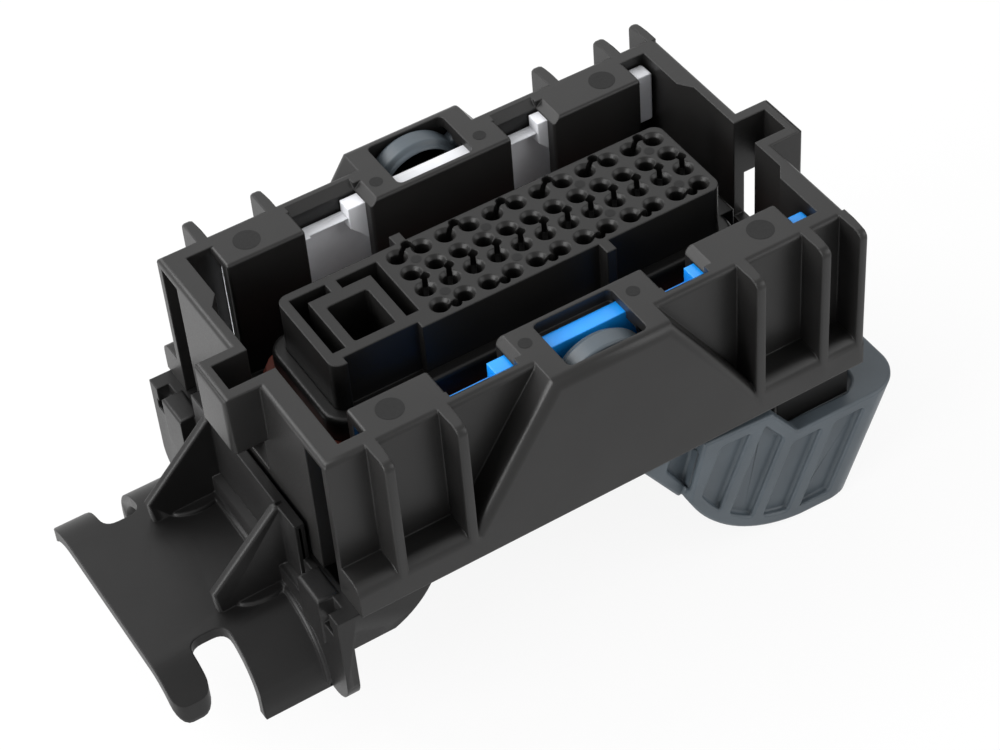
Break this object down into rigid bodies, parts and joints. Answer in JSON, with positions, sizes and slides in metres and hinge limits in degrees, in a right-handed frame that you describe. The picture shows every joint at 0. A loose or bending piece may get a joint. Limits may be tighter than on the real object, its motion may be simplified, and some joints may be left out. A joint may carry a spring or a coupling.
{
  "type": "sealed electrical connector",
  "caption": "Sealed rectangular wire connector with a contact tower, ring seal, swinging mate-assist lever, cam sliders and a wire cover with a tie tongue.",
  "frame": {"origin": "middle of the bounding box's base, with the lever open", "axes": "+X along the long side, away from the wire exit; +Z out of the mating face"},
  "size_m": [0.0768, 0.0378, 0.0343],
  "materials": {
    "housing_black": "satin, fine grain",
    "tower_black": "satin",
    "cover_black": "satin, fine grain",
    "lever_grey": "satin",
    "slider_blue": "satin",
    "slider_natural": "satin",
    "seal_red": "soft matte",
    "mat_orange": "soft matte"
  },
  "bodies": {
    "connector": {"outer_housing": "housing_black", "terminal_tower": "tower_black", "secondary_lock": "tower_black", "ring_seal_retainer": "tower_black", "ring_seal": "seal_red", "mat_seal": "mat_orange", "mat_seal_cover": "tower_black", "wire_cover": "cover_black"},
    "lever": {"lever": "lever_grey"},
    "slider_front": {"slider_front": "slider_blue"},
    "slider_rear": {"slider_rear": "slider_natural"}
  },
  "joints": [
    {"name": "lever_swing", "type": "hinge", "parent": "connector", "child": "lever", "pos_m": [0.0054, 0, 0.0294], "axis": [0, 1, 0], "range_deg": [0, 68]},
    {"name": "front_slide", "type": "slide", "parent": "connector", "child": "slider_front", "axis": [-1, 0, 0], "range_m": [0, 0.00381]},
    {"name": "rear_slide", "type": "slide", "parent": "connector", "child": "slider_rear", "axis": [-1, 0, 0], "range_m": [0, 0.00381]}
  ],
  "couplings": [
    {"joint": "front_slide", "follows": "lever_swing", "m_per_rad": 0.0032039},
    {"joint": "rear_slide", "follows": "lever_swing", "m_per_rad": 0.0032039}
  ]
}
